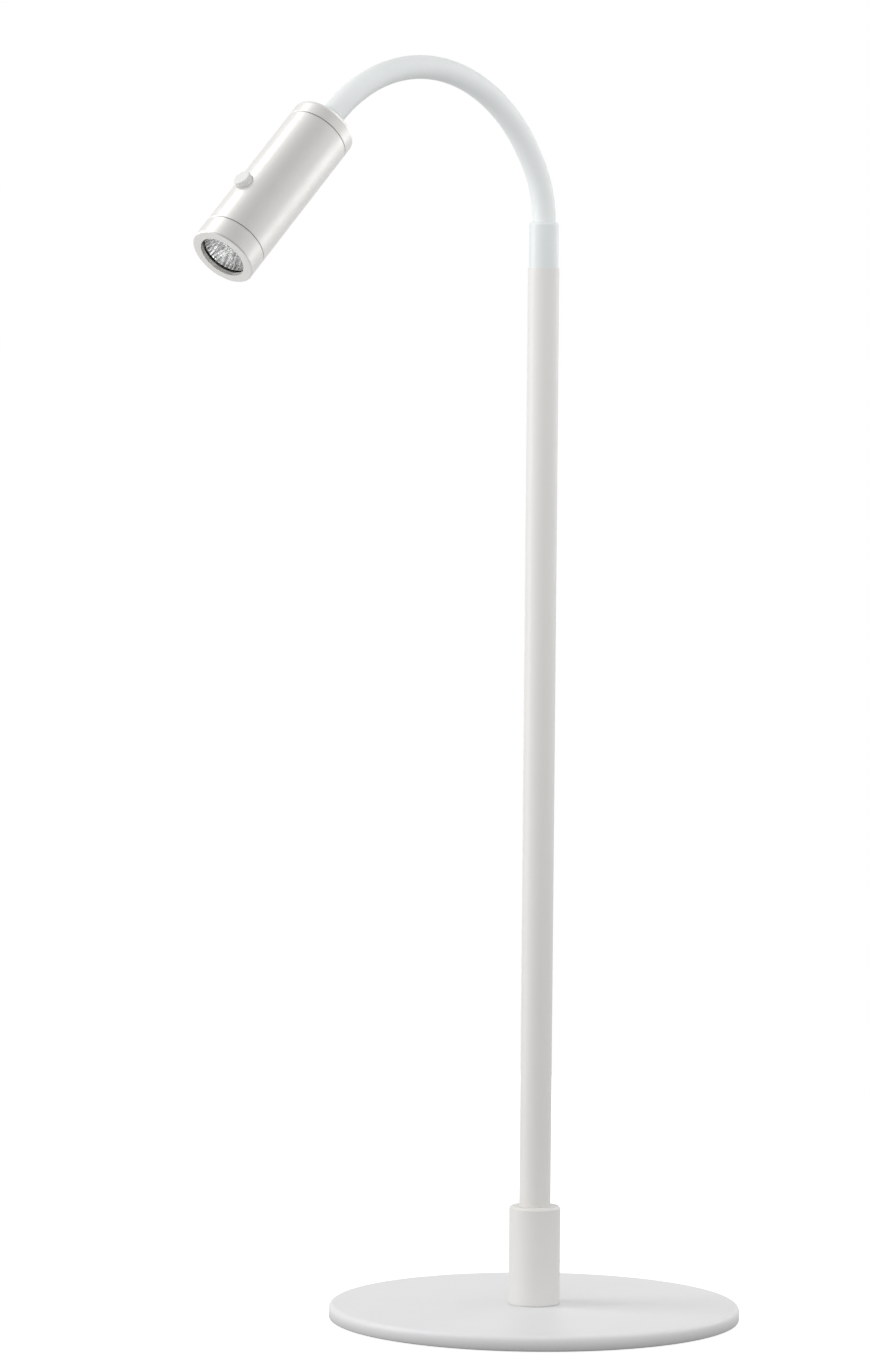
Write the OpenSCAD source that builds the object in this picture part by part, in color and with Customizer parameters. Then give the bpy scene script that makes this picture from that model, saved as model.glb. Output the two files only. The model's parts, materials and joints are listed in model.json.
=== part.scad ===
// Gooseneck desk lamp with a slim LED spot head.
// A weighted round base carries a straight pole, a sleeved gooseneck and a round head.
// +Z runs up the pole, the neck arches towards -X, and the origin is the middle of the
// face that the lamp rests on. All sizes are in millimetres and all angles in degrees.

/* [Base] */
// Diameter of the weighted base plate
base_d = 200; // [160:5:240]
// Thickness of the base plate
base_t = 7.2; // [6.6:0.2:10]
// Radius of the plate's upper rim
base_rim_r = 2.4; // [1:0.2:3]
// Radius of the plate's lower rim
base_foot_r = 0.8; // [0.4:0.2:1.4]
// Bare metal between the foot pad and the rim
pad_margin = 8; // [4:1:20]
// Thickness of the foot pad
pad_t = 2; // [1.6:0.2:3]
// Depth of the seat that the foot pad is glued into
pad_seat = 1.2; // [0.8:0.2:1.4]

/* [Base bolt] */
// Diameter of the bolt that holds the collar on the base
bolt_d = 6; // [5:0.5:8]
// Diameter of the bolt's head
bolt_head_d = 11; // [10:0.5:12]
// Height of the bolt's head
bolt_head_h = 2.8; // [2.4:0.1:3.2]
// Size of the bolt's key across its flats
bolt_key = 4; // [3:0.5:5]
// Length of bolt screwed into the collar
bolt_grip = 10; // [7:0.5:11]
// Diameter of the washer under the bolt's head
washer_d = 14; // [13:0.5:18]
// Thickness of the washer
washer_t = 1; // [0.6:0.1:1.4]

/* [Collar] */
// Diameter of the collar at the foot of the pole
collar_d = 25; // [22:0.5:32]
// Height of the collar
collar_h = 48; // [46:1:70]
// Bevel round the collar's top
collar_bevel = 1; // [0.4:0.1:2]
// Height and depth of the shadow groove round the collar's foot
foot_groove = 0.5; // [0.3:0.1:1]
// Depth that the pole stands in the collar
socket_depth = 20; // [14:1:21]
// Diameter of the wiring cavity below the pole
cavity_d = 12; // [11:0.5:13]
// Solid metal below the wiring cavity
cavity_floor = 12.5; // [12.5:0.5:15]
// Diameter of the set screw that clamps the pole
grub_d = 4; // [3:0.5:5]
// Height of the set screw below the collar's top
grub_drop = 9; // [5:0.5:12]
// Size of the set screw's key across its flats
grub_key = 2; // [1.5:0.1:2.4]

/* [Power inlet] */
// Diameter of the inlet's threaded barrel
inlet_d = 8; // [7.4:0.1:9]
// Length of the barrel behind its flange
inlet_len = 11; // [10.4:0.2:12]
// Diameter of the flange
inlet_flange_d = 11; // [10:0.2:12]
// Thickness of the flange
inlet_flange_t = 1.4; // [1:0.1:2]
// Bore that takes a plug's barrel
plug_bore_d = 5.7; // [5.5:0.1:6]
// Depth of the plug's bore
plug_depth = 9.5; // [9:0.1:10]
// Diameter of the contact pin
pin_d = 2.1; // [1.9:0.1:2.5]
// Diameter of the pin's root, which is staked in the housing
pin_root_d = 3; // [2.6:0.1:3.4]
// Distance of the pin's tip behind the flange's face
pin_setback = 0.6; // [0.2:0.1:1.2]
// Width of each solder tag
tag_w = 2; // [1.6:0.1:2.2]
// Thickness of each solder tag
tag_t = 0.5; // [0.4:0.1:0.8]
// Length of each solder tag
tag_len = 4; // [3:0.2:4.6]
// Distance between the solder tags' middles
tag_spacing = 4; // [3.4:0.1:4.4]

/* [Pole] */
// Outer diameter of the pole
pole_d = 15.2; // [14.6:0.2:18]
// Wall of the pole
pole_wall = 1; // [0.8:0.1:1.2]
// Length of the pole tube
pole_len = 476; // [300:1:600]

/* [Neck] */
// Length of the flexible neck between its two ferrules
neck_len = 189; // [140:1:260]
// Bend of the whole neck as it stands
neck_bend = 133; // [100:0.5:170]
// Bend of the neck's first, tighter stretch
root_bend = 26; // [16:0.5:32]
// Outer diameter of the neck's sleeve
neck_d = 11.2; // [10.6:0.1:11.8]
// Wall of the sleeve
sleeve_wall = 1.2; // [1:0.1:1.4]
// Length of each short stretch that bends sideways
side_zone = 10.5; // [7:0.5:14]
// Diameter of the round wire of the gooseneck's coil
wire_d = 1.8; // [1.4:0.1:2]
// Distance between the coil's turns
coil_pitch = 3.6; // [3:0.1:4.5]
// Play between the coil and the sleeve
coil_play = 0.3; // [0.3:0.05:0.4]
// Diameter of the cable in the neck
cable_d = 3.4; // [2.8:0.1:3.6]

/* [Ferrules] */
// Diameter of the long ferrule on the pole
ferrule_d = 14.3; // [13.6:0.1:15]
// Height of the long ferrule
ferrule_h = 22; // [14:1:30]
// Rounded shoulder of the ferrules
ferrule_r = 1.2; // [0.4:0.1:1.3]
// Length of the bush inside the pole
bush_len = 26; // [16:1:40]
// Height of the bush's nipple inside the long ferrule
nipple_h = 6; // [4:0.5:10]
// Depth of the coil's seat below the pole's top
coil_seat = 6; // [3:0.5:12]
// Diameter of the short ferrule on the head
head_ferrule_d = 12.8; // [12.4:0.1:14]
// Visible length of the short ferrule
head_ferrule_h = 7; // [6:0.5:12]
// Depth of sleeve inside the short ferrule
sleeve_grip = 3.5; // [2:0.5:4.5]
// Diameter of the short ferrule's threaded shank
shank_d = 10; // [9:0.5:11]
// Size of the locknut across its flats
locknut_af = 14; // [13:0.5:16]
// Height of the locknut
locknut_h = 4; // [3:0.5:4.5]

/* [Head] */
// Outer diameter of the head
head_d = 32; // [31:0.5:36]
// Wall of the head tube at its front
head_wall = 1.5; // [1.2:0.1:1.6]
// Height of the step inside the tube that the heat sink rests on
tube_step = 0.7; // [0.5:0.1:0.9]
// Length of the rear cap
rear_cap_h = 8; // [7:0.5:14]
// Thickness of the rear cap's end wall
rear_wall = 3; // [2:0.5:3.5]
// Rounded rear edge of the head
rear_edge_r = 2.2; // [1:0.1:2.6]
// Length of the head tube
tube_len = 72; // [70:1:100]
// Length of the front bezel
bezel_h = 10.5; // [10:0.5:16]
// Diameter of the bezel's opening
opening_d = 23; // [20:0.2:25]
// Thickness of the bezel's front lip
lip_t = 2; // [1.4:0.1:2.6]
// Rounded front edge of the bezel
face_edge_r = 0.8; // [0.4:0.1:1.2]
// Bevel on both sides of each seam of the head
seam_bevel = 0.3; // [0.2:0.1:0.5]
// Length of the spigots of the cap and the bezel inside the tube
spigot_len = 6; // [5:0.5:7]

/* [Light] */
// Diameter of the lens and of the reflector's flange
lens_d = 26; // [25.6:0.1:26.2]
// Thickness of the lens
lens_t = 2; // [1.4:0.1:2.6]
// Thickness of the lens gasket
gasket_t = 0.6; // [0.4:0.1:1]
// Depth of the reflector
reflector_h = 12.5; // [11.5:0.1:13]
// Mouth of the reflector
reflector_mouth_d = 23.4; // [22:0.2:24.4]
// Hole at the root of the reflector
reflector_root_d = 9.6; // [9.4:0.1:10.4]
// Skin of the reflector
reflector_skin = 0.9; // [0.6:0.1:1.1]
// Facets round the reflector
facet_columns = 28; // [20:2:32]
// Rows of facets from root to mouth
facet_rows = 9; // [6:1:11]
// Thickness of the round LED board
led_board_t = 1.6; // [1:0.2:2]
// Diameter of the LED's lit disc
led_d = 9; // [6:0.2:9.2]
// Height of the LED's lit disc
led_h = 0.8; // [0.5:0.1:1.2]
// Diameter of the circle that the LED board's screws lie on
led_screw_pcd = 21; // [20.4:0.2:21.4]
// Diameter of the LED board's screws
led_screw_d = 2; // [1.6:0.1:2.2]
// Thickness of the heat sink
sink_t = 8; // [7:0.5:9]
// Depth of the slots between the heat sink's fins
fin_depth = 5; // [3:0.5:5.5]
// Width of the slots between the fins
fin_slot = 1.4; // [1:0.1:1.8]
// Number of slots between the fins
fin_count = 18; // [12:2:22]

/* [Switch] */
// Distance of the button's middle from the back of the heat sink
button_setback = 7.3; // [6:0.1:10]
// Diameter of the button
button_d = 8.4; // [8:0.1:9]
// Height of the button above the head
button_rise = 2.8; // [2.2:0.1:3.4]
// Travel of the button
button_travel = 1.6; // [1:0.1:1.6]
// Play round the button in the head tube
button_play = 0.2; // [0.2:0.05:0.3]
// Width of the flange that keeps the button in
button_flange = 0.7; // [0.5:0.1:0.8]
// Number of grooves round the button
flute_count = 20; // [12:1:24]
// Width of each groove
flute_d = 0.7; // [0.4:0.1:0.8]
// Side of the square switch
switch_w = 8.6; // [8:0.1:9]
// Diameter of the button's stem
stem_d = 4; // [3.6:0.1:4.4]
// Wire of the return spring
spring_wire = 0.35; // [0.3:0.05:0.4]
// Turns of the return spring
spring_turns = 3; // [2:0.5:3.5]
// Height of the return spring
spring_h = 3; // [2.8:0.1:3.2]
// Height of the driver board's lower face above the head's axis
board_x = 2.4; // [2.2:0.1:2.8]
// Thickness of the driver board
board_t = 1.6; // [1:0.2:1.8]
// Width of the driver board
board_w = 25; // [22:0.5:25]

/* [Hidden] */
$fn = 72;
arc_steps = 8;

// Clearances
fit = 0.05; // between turned parts that push or screw together
wire_play = 0.3; // round a cable or lead
key_depth_share = 0.6; // depth of a key socket as a share of its head
seat_gap = 0.2; // between a recessed head and what covers it
running_gap = 0.3; // round parts that move or lie loose
sliver = 0.01; // overshoot of a cut past the face that it opens

// Base, bolt and collar, from the table up
pad_d = base_d - 2*pad_margin;
plate_z = pad_t - pad_seat;
pad_top_z = pad_t;
counterbore_h = washer_t + bolt_head_h + seat_gap;
bolt_seat_z = pad_top_z + counterbore_h;
plate_top_z = plate_z + base_t;
cavity_z = plate_top_z + cavity_floor;
collar_top_z = plate_top_z + collar_h;
pole_z = collar_top_z - socket_depth;
pole_top_z = pole_z + pole_len;
grub_z = collar_top_z - grub_drop;

// Power inlet, in the middle of the wiring cavity's height
inlet_z = (cavity_z + pole_z)/2;
inlet_seat_d = inlet_flange_d + 2*seat_gap;
inlet_seat_x = sqrt(pow(collar_d/2, 2) - pow(inlet_seat_d/2, 2));
inlet_face_x = inlet_seat_x + inlet_flange_t;
inlet_back_x = inlet_seat_x - inlet_len;
plug_floor_x = inlet_face_x - plug_depth;
thread_relief = 1;
lead_d = 1.1;
cable_tail = 2;
cable_start_z = pole_z - cable_tail;

// Neck: a straight axis up to neck_z, a tight arc up to turn_s along the neck, a wide arc up
// to neck_len, and the head's straight axis
neck_z = pole_top_z + ferrule_h;
lift_zone = (neck_len - 3*side_zone)/6;
turn_s = side_zone + lift_zone/2;
root_r = turn_s*180/(PI*root_bend);
neck_r = (neck_len - turn_s)*180/(PI*(neck_bend - root_bend));
HINGES = 9;
SEGMENTS = HINGES + 1;
sleeve_bore = neck_d - 2*sleeve_wall;
coil_d = sleeve_bore - 2*coil_play;
coil_turn_steps = 12;
wire_sides = 6;
sleeve_first = nipple_h - ferrule_h;
coil_first = -ferrule_h - coil_seat;
sleeve_last = neck_len + sleeve_grip;
coil_last = sleeve_last + 1.5;
ferrule_bore = neck_d + 4*fit;
pocket_bore = neck_d + 6*fit;
pocket_depth = (neck_r + neck_d/2)*sin(sleeve_grip*180/(PI*neck_r)) + fit;

// Head, as distances along its own axis from the rear cap's back face
head_s = neck_len + head_ferrule_h;
cable_reach = 18;
cable_last = head_s + cable_reach;
tube_u = rear_cap_h;
bezel_u = tube_u + tube_len;
face_u = bezel_u + bezel_h;
lens_u = face_u - lip_t - gasket_t - lens_t;
reflector_u = lens_u - reflector_h;
led_board_u = reflector_u - led_board_t;
sink_u = led_board_u - sink_t;
front_bore_r = head_d/2 - head_wall;
mid_bore_r = front_bore_r - tube_step;
flange_t = 1;
bezel_bore_r = lens_d/2 + running_gap;
shank_tail = 2;
shank_len = rear_wall + locknut_h + shank_tail;
cap_skirt_wall = 1.9;
cap_skirt_r = mid_bore_r - fit - cap_skirt_wall;
cap_slot_depth = 4;
board_slot_depth = 1.2;
board_u = rear_cap_h + spigot_len - cap_slot_depth;
board_end_u = sink_u + board_slot_depth;
led_hole_d = 4;
led_screw_head = 1.2;

// Switch, as its place along the head and as distances from the head's axis
button_u = sink_u - button_setback;
board_top_x = board_x + board_t;
flange_top_x = sqrt(pow(mid_bore_r, 2) - pow(button_d/2 + button_flange, 2)) - running_gap;
button_flange_t = 0.7;
flange_low_x = flange_top_x - button_flange_t;
switch_top_x = flange_low_x - button_travel - running_gap;
switch_floor = 1.3;
spring_low_x = board_top_x + switch_floor;
stem_low_x = spring_low_x + spring_h + fit;
spring_d = stem_d - 2*seat_gap;
button_top_x = head_d/2 + button_rise;

// ---- The neck's line --------------------------------------------------------------------

// Radius of the arc that the neck follows at the distance s along it
function arc_r(s) = s < turn_s ? root_r : neck_r;

// Middle of that arc, as its X and its Z
function arc_middle(s) =
    let (shift = root_r - arc_r(s))
    [-root_r + shift*cos(root_bend), neck_z + shift*sin(root_bend)];

// Bend of the neck, in degrees, at the distance s
function bend_at(s) =
    let (t = min(max(s, 0), neck_len))
    t < turn_s ? t/turn_s*root_bend : root_bend + (t - turn_s)*180/(PI*neck_r);

// Length of straight axis beyond the arcs at the distance s
function beyond(s) = s < 0 ? s : max(s - neck_len, 0);

// Place of the point that lies across the neck at (x, y) and along it at s
function on_neck(x, y, s) =
    let (b = bend_at(s), t = beyond(s), middle = arc_middle(s), r = arc_r(s) + x)
    [middle[0] + r*cos(b) - t*sin(b), y, middle[1] + r*sin(b) + t*cos(b)];

// The neck bends at nine hinges, each in the middle of its zone: one short zone that bends
// sideways, then two longer ones that bend in the neck's own plane, and so on. The tight arc
// ends at the second hinge.
function zone_len(i) = i % 3 == 0 ? side_zone : lift_zone;
function zone_start(i) = i == 0 ? 0 : zone_start(i - 1) + zone_len(i - 1);
function hinge_s(i) = zone_start(i) + zone_len(i)/2;

// Where the neck's segment k starts, for a layer that runs from first to last
function cut_s(k, first, last) = k == 0 ? first : k == SEGMENTS ? last : hinge_s(k - 1);

// Puts its children at the distance s along the neck, with +Z along it and +X outwards
module at_neck(s) {
    translate(on_neck(0, 0, s)) rotate([0, -bend_at(s), 0]) children();
}

// Puts its children in the head: +Z towards the light, +X towards the button
module in_head(u = 0) {
    at_neck(head_s + u) children();
}

// ---- Shared shapes ----------------------------------------------------------------------

// Points of a quarter circle, from the angle a0 on
function quarter(cx, cy, r, a0) = [
    for (i = [0:arc_steps]) let (a = a0 + 90*i/arc_steps) [cx + r*cos(a), cy + r*sin(a)]
];

// A tube that stands on z = 0
module tube(d, bore, h) {
    difference() {
        cylinder(d = d, h = h);
        translate([0, 0, -sliver]) cylinder(d = bore, h = h + 2*sliver);
    }
}

// A round or tubular section
module ring_section(d, bore) {
    difference() {
        circle(d = d);
        if (bore > 0) circle(d = bore);
    }
}

// A round layer of the neck between two distances along it, on one of its arcs. The last few
// millimetres keep the arc's bend inside the short ferrule, whose pocket has play for it.
module neck_layer(s0, s1, d, bore = 0) {
    start = max(s0, 0);
    r = arc_r((start + s1)/2);
    middle = arc_middle((start + s1)/2);
    union() {
        if (s0 < 0) at_neck(s0) linear_extrude(-s0) ring_section(d, bore);
        translate([middle[0], 0, middle[1]]) rotate([90, 0, 0]) rotate([0, 0, bend_at(start)])
            rotate_extrude(angle = (s1 - start)*180/(PI*r)) translate([r, 0])
                ring_section(d, bore);
    }
}

// Triangles that join ring j to ring j + 1 of a swept skin with m points a ring
function band(j, m) = [
    for (i = [0:m - 1]) each [
        [j*m + i, (j + 1)*m + i, j*m + (i + 1)%m],
        [j*m + (i + 1)%m, (j + 1)*m + i, (j + 1)*m + (i + 1)%m]
    ]
];

// Triangles that close the ring that starts at point p
function cap(p, m, last) = [
    for (i = [1:m - 2]) last ? [p, p + i + 1, p + i] : [p, p + i, p + i + 1]
];

// Point of a coil's wire: s is the distance along the coil and w goes round the wire
function wire_point(s, w, coil_r, wire_r, pitch, bent) =
    let (
        r = coil_r + wire_r*cos(w),
        turn = 360*s/pitch,
        along = s + wire_r*sin(w)
    )
    bent ? on_neck(r*cos(turn), r*sin(turn), along) : [r*cos(turn), r*sin(turn), along];

// Round wire wound into a coil from s0 to s1, which follows the neck's bend if it is bent
module wire_coil(s0, s1, outer_d, wire, pitch, bent = true) {
    steps = ceil((s1 - s0)/pitch*coil_turn_steps);
    points = [
        for (j = [0:steps], i = [0:wire_sides - 1])
            wire_point(
                s0 + (s1 - s0)*j/steps, 360*i/wire_sides,
                outer_d/2 - wire/2, wire/2, pitch, bent
            )
    ];
    faces = concat(
        [for (j = [0:steps - 1]) each band(j, wire_sides)],
        cap(0, wire_sides, false),
        cap(steps*wire_sides, wire_sides, true)
    );
    polyhedron(points, faces);
}

// Unit vector along a route at its point i
function heading(route, i) =
    let (v = route[min(i + 1, len(route) - 1)] - route[max(i - 1, 0)]) v/norm(v);

// A round wire or cable swept along a route that nowhere runs along Y
module swept(route, d, sides = 8) {
    points = [
        for (i = [0:len(route) - 1])
            let (
                t = heading(route, i),
                across = cross([0, 1, 0], t)/norm(cross([0, 1, 0], t)),
                up = cross(t, across)
            )
            for (k = [0:sides - 1])
                route[i] + d/2*(cos(360*k/sides)*across + sin(360*k/sides)*up)
    ];
    faces = concat(
        [for (j = [0:len(route) - 2]) each band(j, sides)],
        cap(0, sides, false),
        cap((len(route) - 1)*sides, sides, true)
    );
    polyhedron(points, faces);
}

// A screw head on z = 0 with a hexagonal key socket in its free end
module socket_head(d, h, key) {
    difference() {
        cylinder(d = d, h = h);
        translate([0, 0, h*(1 - key_depth_share)])
            cylinder(d = key/cos(30), h = h*key_depth_share + sliver, $fn = 6);
    }
}

// ---- Base -------------------------------------------------------------------------------

module base_pad() {
    color("dimgray") cylinder(d = pad_d, h = pad_t);
}

module base_plate() {
    r = base_d/2;
    color("whitesmoke") difference() {
        translate([0, 0, plate_z]) rotate_extrude() polygon(concat(
            [[0, 0]],
            quarter(r - base_foot_r, base_foot_r, base_foot_r, -90),
            quarter(r - base_rim_r, base_t - base_rim_r, base_rim_r, 0),
            [[0, base_t]]
        ));
        translate([0, 0, plate_z - sliver]) cylinder(d = pad_d + 2*fit, h = pad_seat + sliver);
        translate([0, 0, pad_top_z - sliver])
            cylinder(d = washer_d + 4*seat_gap, h = counterbore_h + sliver);
        cylinder(d = bolt_d + 2*seat_gap, h = plate_top_z + sliver);
    }
}

module base_washer() {
    color("silver") translate([0, 0, bolt_seat_z - washer_t])
        tube(washer_d, bolt_d + 2*seat_gap, washer_t);
}

module base_bolt() {
    head_z = bolt_seat_z - washer_t;
    color("silver") {
        translate([0, 0, head_z]) mirror([0, 0, 1])
            socket_head(bolt_head_d, bolt_head_h, bolt_key);
        translate([0, 0, head_z]) cylinder(d = bolt_d, h = plate_top_z + bolt_grip - head_z);
    }
}

// ---- Collar, with the power inlet at its back -------------------------------------------

module post_collar() {
    r = collar_d/2;
    color("whitesmoke") difference() {
        translate([0, 0, plate_top_z]) rotate_extrude() polygon([
            [0, 0], [r - foot_groove, 0], [r - foot_groove, foot_groove], [r, foot_groove],
            [r, collar_h - collar_bevel], [r - collar_bevel, collar_h], [0, collar_h]
        ]);
        translate([0, 0, plate_top_z - sliver])
            cylinder(d = bolt_d + 2*fit, h = bolt_grip + thread_relief + sliver);
        translate([0, 0, cavity_z]) cylinder(d = cavity_d, h = collar_top_z - cavity_z);
        translate([0, 0, pole_z]) cylinder(d = pole_d + 2*fit, h = socket_depth + sliver);
        translate([0, 0, inlet_z]) rotate([0, 90, 0]) cylinder(d = inlet_d + 2*fit, h = r + 1);
        translate([inlet_seat_x, 0, inlet_z]) rotate([0, 90, 0])
            cylinder(d = inlet_seat_d, h = r);
        translate([0, 0, grub_z]) rotate([0, 90, 0]) cylinder(d = grub_d + 2*fit, h = r + 1);
    }
}

module collar_set_screw() {
    tip_x = pole_d/2 + fit;
    length = collar_d/2 - 2*seat_gap - tip_x;
    color("silver") translate([tip_x, 0, grub_z]) rotate([0, 90, 0])
        socket_head(grub_d, length, grub_key);
}

module inlet_housing() {
    color("darkslategray") translate([0, 0, inlet_z]) rotate([0, 90, 0]) difference() {
        union() {
            translate([0, 0, inlet_back_x]) cylinder(d = inlet_d, h = inlet_len + sliver);
            translate([0, 0, inlet_seat_x]) cylinder(d = inlet_flange_d, h = inlet_flange_t);
        }
        translate([0, 0, plug_floor_x]) cylinder(d = plug_bore_d, h = plug_depth + sliver);
        translate([0, 0, inlet_back_x - sliver])
            cylinder(d = pin_root_d, h = plug_floor_x - inlet_back_x + 2*sliver);
    }
}

module inlet_pin() {
    tip_r = pin_d/4;
    root_h = plug_floor_x - inlet_back_x;
    h = inlet_face_x - pin_setback - inlet_back_x;
    color("gold") translate([inlet_back_x, 0, inlet_z]) rotate([0, 90, 0]) rotate_extrude()
        polygon(concat(
            [[0, 0], [pin_root_d/2, 0], [pin_root_d/2, root_h], [pin_d/2, root_h]],
            quarter(pin_d/2 - tip_r, h - tip_r, tip_r, 0),
            [[0, h]]
        ));
}

module inlet_tags() {
    color("gold") for (side = [-1, 1])
        translate([inlet_back_x - tag_len, side*tag_spacing/2 - tag_t/2, inlet_z - tag_w/2])
            cube([tag_len, tag_t, tag_w]);
}

// ---- Pole -------------------------------------------------------------------------------

module pole_tube() {
    color("whitesmoke") translate([0, 0, pole_z]) tube(pole_d, pole_d - 2*pole_wall, pole_len);
}

// Turned bush in the top of the pole, with the coil's seat and a nipple for the ferrule
module pole_bush() {
    color("goldenrod") difference() {
        union() {
            translate([0, 0, pole_top_z - bush_len])
                cylinder(d = pole_d - 2*pole_wall - 2*fit, h = bush_len);
            translate([0, 0, pole_top_z - sliver]) cylinder(d = neck_d, h = nipple_h + sliver);
        }
        translate([0, 0, pole_top_z - coil_seat])
            cylinder(d = coil_d + 4*fit, h = coil_seat + nipple_h + sliver);
        translate([0, 0, pole_top_z - bush_len - sliver])
            cylinder(d = cable_d + 2*wire_play, h = bush_len);
    }
}

module lower_ferrule() {
    r = ferrule_d/2;
    color("lightsteelblue") translate([0, 0, pole_top_z]) rotate_extrude() polygon(concat(
        [[ferrule_bore/2, 0], [r, 0]],
        quarter(r - ferrule_r, ferrule_h - ferrule_r, ferrule_r, 0),
        [[ferrule_bore/2, ferrule_h]]
    ));
}

// Cable in the pole, with a lead down to the top of each solder tag
module pole_cable() {
    lead_y = cable_d/2 - lead_d/2 - fit;
    tag_top_z = inlet_z + tag_w/2 + fit;
    color("gainsboro") {
        neck_layer(cable_start_z - neck_z, hinge_s(0), cable_d);
        for (side = [-1, 1]) swept([
            [inlet_back_x - tag_len/2, side*tag_spacing/2, tag_top_z],
            [inlet_back_x - tag_len/2, side*tag_spacing/2, tag_top_z + lead_d],
            [0, side*lead_y, cable_start_z - lead_d],
            [0, side*lead_y, cable_start_z + lead_d]
        ], lead_d);
    }
}

// ---- Neck -------------------------------------------------------------------------------

module neck_sleeve(k) {
    color("lightsteelblue") neck_layer(
        cut_s(k, sleeve_first, sleeve_last), cut_s(k + 1, sleeve_first, sleeve_last),
        neck_d, sleeve_bore
    );
}

module neck_coil(k) {
    color("gray") wire_coil(
        cut_s(k, coil_first + wire_d/2, coil_last - wire_d/2),
        cut_s(k + 1, coil_first + wire_d/2, coil_last - wire_d/2),
        coil_d, wire_d, coil_pitch
    );
}

module neck_cable(k) {
    color("gainsboro") neck_layer(hinge_s(k - 1), hinge_s(k), cable_d);
}

// Short ferrule on the head, with pockets for the sleeve and the coil and a threaded shank
module upper_ferrule() {
    r = head_ferrule_d/2;
    color("lightsteelblue") in_head(-head_ferrule_h) difference() {
        rotate_extrude() polygon(concat(
            [[0, 0]],
            quarter(r - ferrule_r, ferrule_r, ferrule_r, -90),
            [[r, head_ferrule_h], [shank_d/2, head_ferrule_h]],
            [[shank_d/2, head_ferrule_h + shank_len], [0, head_ferrule_h + shank_len]]
        ));
        translate([0, 0, -sliver]) cylinder(d = pocket_bore, h = pocket_depth + sliver);
        cylinder(d = coil_d + 4*fit, h = coil_last - neck_len);
        cylinder(d = cable_d + 2*wire_play, h = head_ferrule_h + shank_len + sliver);
    }
}

// ---- Head -------------------------------------------------------------------------------

module rear_cap() {
    r = head_d/2;
    skirt_end = rear_cap_h + spigot_len;
    color("whitesmoke") in_head() difference() {
        rotate_extrude() polygon(concat(
            [[0, 0]],
            quarter(r - rear_edge_r, rear_edge_r, rear_edge_r, -90),
            [[r, rear_cap_h - seam_bevel], [r - seam_bevel, rear_cap_h]],
            [[mid_bore_r - fit, rear_cap_h], [mid_bore_r - fit, skirt_end]],
            [[cap_skirt_r, skirt_end], [cap_skirt_r, rear_wall], [0, rear_wall]]
        ));
        translate([0, 0, -sliver]) cylinder(d = shank_d + 2*fit, h = rear_wall + 2*sliver);
        translate([board_x - fit, -board_w/2 - fit, board_u])
            cube([board_t + 2*fit, board_w + 2*fit, skirt_end]);
    }
}

module neck_locknut() {
    color("goldenrod") in_head(rear_wall) difference() {
        cylinder(d = locknut_af/cos(30), h = locknut_h, $fn = 6);
        translate([0, 0, -sliver]) cylinder(d = shank_d + 2*fit, h = locknut_h + 2*sliver);
    }
}

module head_tube() {
    r = head_d/2;
    color("whitesmoke") in_head() difference() {
        rotate_extrude() polygon([
            [mid_bore_r, tube_u], [r - seam_bevel, tube_u], [r, tube_u + seam_bevel],
            [r, bezel_u - seam_bevel], [r - seam_bevel, bezel_u], [front_bore_r, bezel_u],
            [front_bore_r, sink_u], [mid_bore_r, sink_u]
        ]);
        translate([0, 0, button_u]) rotate([0, 90, 0])
            cylinder(d = button_d + 2*button_play, h = head_d);
    }
}

// Cable out of the shank, with a lead up to each pad under the driver board
module head_cable() {
    sides = 16;
    first = hinge_s(HINGES - 1);
    arc_rings = 5;
    stations = concat(
        [for (i = [0:arc_rings]) first + (neck_len - first)*i/arc_rings],
        [cable_last]
    );
    points = [
        for (s = stations, k = [0:sides - 1])
            on_neck(cable_d/2*cos(360*k/sides), cable_d/2*sin(360*k/sides), s)
    ];
    rings = len(stations);
    lead_y = cable_d/2 - lead_d/2 - 2*fit;
    pad_x = board_x - lead_d/2 - fit;
    color("gainsboro") {
        polyhedron(points, concat(
            [for (j = [0:rings - 2]) each band(j, sides)],
            cap(0, sides, false),
            cap((rings - 1)*sides, sides, true)
        ));
        for (side = [-1, 1]) swept([
            on_neck(0, side*lead_y, cable_last - lead_d),
            on_neck(0, side*lead_y, cable_last + lead_d),
            on_neck(pad_x, side*lead_y, cable_last + 4*lead_d),
            on_neck(pad_x, side*lead_y, cable_last + 6*lead_d)
        ], lead_d);
    }
}

module driver_board() {
    color("seagreen") in_head(board_u) translate([board_x, -board_w/2, 0])
        cube([board_t, board_w, board_end_u - board_u]);
}

module switch_body() {
    color("dimgray") in_head(button_u) difference() {
        translate([board_top_x, -switch_w/2, -switch_w/2])
            cube([switch_top_x - board_top_x, switch_w, switch_w]);
        translate([spring_low_x, 0, 0]) rotate([0, 90, 0]) cylinder(d = stem_d + 2*fit, h = head_d);
    }
}

module switch_spring() {
    color("silver") in_head(button_u) translate([spring_low_x, 0, 0]) rotate([0, 90, 0])
        wire_coil(
            spring_wire/2, spring_h - spring_wire/2, spring_d, spring_wire,
            (spring_h - spring_wire)/spring_turns, false
        );
}

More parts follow.
